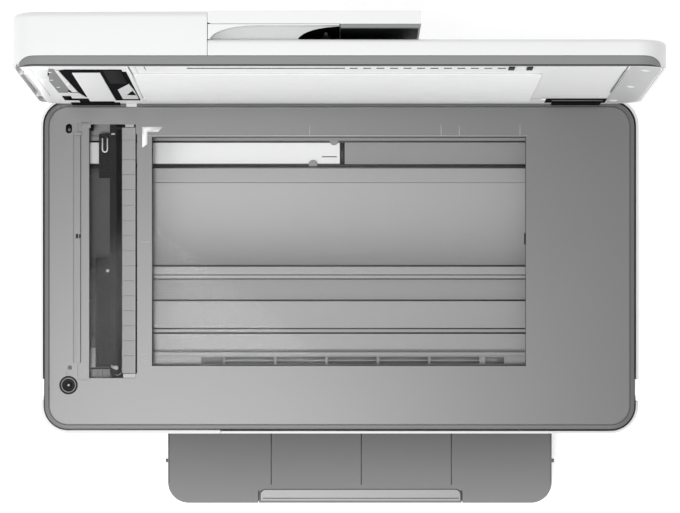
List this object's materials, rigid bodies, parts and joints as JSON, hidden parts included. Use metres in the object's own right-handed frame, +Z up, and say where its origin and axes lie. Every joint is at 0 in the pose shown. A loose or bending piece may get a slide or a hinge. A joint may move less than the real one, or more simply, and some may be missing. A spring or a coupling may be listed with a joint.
{
  "type": "inkjet printer",
  "caption": "Wide inkjet printer with copier: flatbed under a tall open lid with a sheet feeder, front paper tray, tilting control panel and doors.",
  "frame": {"origin": "on the table plane under the centre of the casing, the paper tray in front left out", "axes": "+X to the right, +Y to the back where the lid hinges, +Z up; stored with the lid open"},
  "size_m": [0.579, 0.4647, 0.5557],
  "materials": {
    "white_plastic": "fine satin texture",
    "grey_plastic": "satin",
    "dark_plastic": "satin",
    "pale_plastic": "satin",
    "steel": "zinc plated",
    "rubber": "matt",
    "clear_glass": "clear",
    "white_foam": "soft matt foam",
    "board_green": "solder mask",
    "label_cyan": "gloss",
    "label_magenta": "gloss",
    "label_yellow": "gloss",
    "gear_plastic": "acetal"
  },
  "bodies": {
    "chassis": {"base_pan": "pale_plastic", "rubber_feet": "rubber", "side_cover_left": "white_plastic", "side_cover_right": "white_plastic", "rear_cover": "white_plastic", "front_frame": "white_plastic", "panel_housing": "white_plastic", "side_plates": "steel", "guide_rail": "steel", "carriage_belt": "rubber", "drive_motors": "steel", "platen": "dark_plastic", "star_wheel_holder": "dark_plastic", "service_station": "dark_plastic", "power_supply": "dark_plastic", "main_board": "board_green", "case_screws": "steel"},
    "carriage": {"print_carriage": "dark_plastic"},
    "ink_black": {"cartridge_black": "dark_plastic"},
    "ink_cyan": {"cartridge_cyan": "label_cyan"},
    "ink_magenta": {"cartridge_magenta": "label_magenta"},
    "ink_yellow": {"cartridge_yellow": "label_yellow"},
    "pulley_driven": {"drive_pulley": "gear_plastic"},
    "pulley_idle": {"idler_pulley": "gear_plastic"},
    "feed_shaft": {"feed_roller": "rubber"},
    "eject_shaft": {"eject_roller": "rubber"},
    "idler": {"idler_gear": "gear_plastic"},
    "pinion": {"motor_pinion": "gear_plastic"},
    "pickup": {"pickup_arm": "dark_plastic"},
    "pickup_wheel": {"pickup_roller": "rubber"},
    "paper_cassette": {"cassette": "pale_plastic"},
    "guide_left": {"width_guide_left": "pale_plastic"},
    "guide_right": {"width_guide_right": "pale_plastic"},
    "guide_pinion": {"width_pinion": "gear_plastic"},
    "guide_end": {"length_guide": "pale_plastic"},
    "out_tray": {"output_tray": "grey_plastic"},
    "out_extension": {"output_extension": "grey_plastic"},
    "panel": {"touch_panel": "pale_plastic"},
    "button": {"power_button": "pale_plastic"},
    "door_front": {"front_door": "white_plastic"},
    "door_rear": {"rear_door": "white_plastic"},
    "scanner_unit": {"scanner_skirt": "white_plastic", "scanner_tub": "grey_plastic", "scanner_deck": "grey_plastic", "scan_glass": "clear_glass", "scan_ribbon": "white_plastic", "hinge_brackets": "dark_plastic"},
    "scan_carriage": {"cis_carriage": "dark_plastic"},
    "scan_gear": {"cis_gear": "gear_plastic"},
    "lid": {"lid_base": "white_plastic", "lid_band": "grey_plastic", "lid_cover": "white_plastic", "backing_pad": "white_foam", "hinge_arms": "dark_plastic", "feeder_frame": "dark_plastic"},
    "feeder_lid": {"feeder_cover": "white_plastic"},
    "feeder_wheel": {"feeder_roller": "rubber"},
    "input_tray": {"feeder_tray": "white_plastic"},
    "doc_guide_front": {"feeder_guide_front": "pale_plastic"},
    "doc_guide_rear": {"feeder_guide_rear": "pale_plastic"}
  },
  "joints": [
    {"name": "carriage_travel", "type": "slide", "parent": "chassis", "child": "carriage", "axis": [1, 0, 0], "range_m": [-0.41, 0]},
    {"name": "cartridge_black_pull", "type": "slide", "parent": "carriage", "child": "ink_black", "axis": [0, -1, 0], "range_m": [0, 0.07]},
    {"name": "cartridge_cyan_pull", "type": "slide", "parent": "carriage", "child": "ink_cyan", "axis": [0, -1, 0], "range_m": [0, 0.07]},
    {"name": "cartridge_magenta_pull", "type": "slide", "parent": "carriage", "child": "ink_magenta", "axis": [0, -1, 0], "range_m": [0, 0.07]},
    {"name": "cartridge_yellow_pull", "type": "slide", "parent": "carriage", "child": "ink_yellow", "axis": [0, -1, 0], "range_m": [0, 0.07]},
    {"name": "drive_pulley_turn", "type": "hinge", "parent": "chassis", "child": "pulley_driven", "pos_m": [-0.252, 0.0555, 0.15], "axis": [0, 1, 0], "continuous": true},
    {"name": "idler_pulley_turn", "type": "hinge", "parent": "chassis", "child": "pulley_idle", "pos_m": [0.252, 0.0555, 0.15], "axis": [0, 1, 0], "continuous": true},
    {"name": "feed_roller_turn", "type": "hinge", "parent": "chassis", "child": "feed_shaft", "pos_m": [0, 0.02, 0.1], "axis": [1, 0, 0], "continuous": true},
    {"name": "eject_roller_turn", "type": "hinge", "parent": "chassis", "child": "eject_shaft", "pos_m": [0, -0.04, 0.1], "axis": [1, 0, 0], "continuous": true},
    {"name": "idler_gear_turn", "type": "hinge", "parent": "chassis", "child": "idler", "pos_m": [-0.274, -0.01, 0.1], "axis": [1, 0, 0], "continuous": true},
    {"name": "motor_pinion_turn", "type": "hinge", "parent": "chassis", "child": "pinion", "pos_m": [-0.274, 0.03966, 0.08623], "axis": [1, 0, 0], "continuous": true},
    {"name": "pickup_arm_drop", "type": "hinge", "parent": "chassis", "child": "pickup", "pos_m": [0.0205, 0.04, 0.066], "axis": [-1, 0, 0], "range_deg": [0, 57]},
    {"name": "pickup_roller_turn", "type": "hinge", "parent": "pickup", "child": "pickup_wheel", "pos_m": [0.0205, 0.092, 0.066], "axis": [1, 0, 0], "continuous": true},
    {"name": "cassette_pull", "type": "slide", "parent": "chassis", "child": "paper_cassette", "axis": [0, -1, 0], "range_m": [0, 0.3]},
    {"name": "width_guide_left_slide", "type": "slide", "parent": "paper_cassette", "child": "guide_left", "axis": [1, 0, 0], "range_m": [0, 0.095]},
    {"name": "width_guide_right_slide", "type": "slide", "parent": "paper_cassette", "child": "guide_right", "axis": [-1, 0, 0], "range_m": [0, 0.095]},
    {"name": "width_pinion_turn", "type": "hinge", "parent": "paper_cassette", "child": "guide_pinion", "pos_m": [0.0205, -0.07, 0.014], "axis": [0, 0, 1], "continuous": true},
    {"name": "length_guide_slide", "type": "slide", "parent": "paper_cassette", "child": "guide_end", "axis": [0, 1, 0], "range_m": [-0.025, 0.085]},
    {"name": "output_tray_lift", "type": "hinge", "parent": "paper_cassette", "child": "out_tray", "pos_m": [0.0205, -0.014, 0.061], "axis": [-1, 0, 0], "range_deg": [0, 14]},
    {"name": "output_extension_pull", "type": "slide", "parent": "out_tray", "child": "out_extension", "axis": [0, -1, 0], "range_m": [0, 0.15]},
    {"name": "panel_tilt", "type": "hinge", "parent": "chassis", "child": "panel", "pos_m": [-0.1992, -0.157, 0.207], "axis": [-1, 0, 0], "range_deg": [0, 45]},
    {"name": "power_button_press", "type": "slide", "parent": "chassis", "child": "button", "axis": [0, 1, 0], "range_m": [0, 0.0012], "stiffness_N_per_m": 400},
    {"name": "front_door_drop", "type": "hinge", "parent": "chassis", "child": "door_front", "pos_m": [0.08, -0.1577, 0.1256], "axis": [1, 0, 0], "range_deg": [0, 90]},
    {"name": "rear_door_drop", "type": "hinge", "parent": "chassis", "child": "door_rear", "pos_m": [0.021, 0.1593, 0.0632], "axis": [-1, 0, 0], "range_deg": [0, 90]},
    {"name": "scanner_lift", "type": "hinge", "parent": "chassis", "child": "scanner_unit", "pos_m": [0, 0.152, 0.176], "axis": [-1, 0, 0], "range_deg": [0, 22]},
    {"name": "scan_carriage_travel", "type": "slide", "parent": "scanner_unit", "child": "scan_carriage", "axis": [1, 0, 0], "range_m": [0, 0.39], "deforming": ["scan_ribbon"]},
    {"name": "scan_gear_turn", "type": "hinge", "parent": "scan_carriage", "child": "scan_gear", "pos_m": [-0.229, -0.07955, 0.201], "axis": [0, 0, 1], "continuous": true},
    {"name": "lid_hinge", "type": "hinge", "parent": "scanner_unit", "child": "lid", "pos_m": [0, 0.1615, 0.232], "axis": [-1, 0, 0], "range_deg": [-93.5, 0]},
    {"name": "feeder_cover_lift", "type": "hinge", "parent": "lid", "child": "feeder_lid", "pos_m": [-0.2854, 0.16886, 0.39335], "axis": [0, 0.061, 0.9981], "range_deg": [0, 80]},
    {"name": "feeder_roller_turn", "type": "hinge", "parent": "lid", "child": "feeder_wheel", "pos_m": [-0.246, 0.19232, 0.39192], "axis": [0, -0.061, -0.9981], "continuous": true},
    {"name": "feeder_tray_lift", "type": "hinge", "parent": "lid", "child": "input_tray", "pos_m": [-0.1115, 0.21258, 0.39068], "axis": [0, 0.061, 0.9981], "range_deg": [0, 50]},
    {"name": "doc_guide_front_slide", "type": "slide", "parent": "input_tray", "child": "doc_guide_front", "axis": [0, -0.061, -0.9981], "range_m": [0, 0.06]},
    {"name": "doc_guide_rear_slide", "type": "slide", "parent": "input_tray", "child": "doc_guide_rear", "axis": [0, 0.061, 0.9981], "range_m": [0, 0.06]}
  ],
  "couplings": [
    {"joint": "drive_pulley_turn", "follows": "carriage_travel", "rad_per_m": 129.87},
    {"joint": "idler_pulley_turn", "follows": "carriage_travel", "rad_per_m": 129.87},
    {"joint": "idler_gear_turn", "follows": "feed_roller_turn", "ratio": -1.5},
    {"joint": "eject_roller_turn", "follows": "feed_roller_turn", "ratio": 1},
    {"joint": "motor_pinion_turn", "follows": "feed_roller_turn", "ratio": -3},
    {"joint": "width_guide_right_slide", "follows": "width_guide_left_slide", "ratio": 1},
    {"joint": "width_pinion_turn", "follows": "width_guide_left_slide", "rad_per_m": -142.86},
    {"joint": "scan_gear_turn", "follows": "scan_carriage_travel", "rad_per_m": -256.41},
    {"joint": "doc_guide_rear_slide", "follows": "doc_guide_front_slide", "ratio": 1}
  ]
}
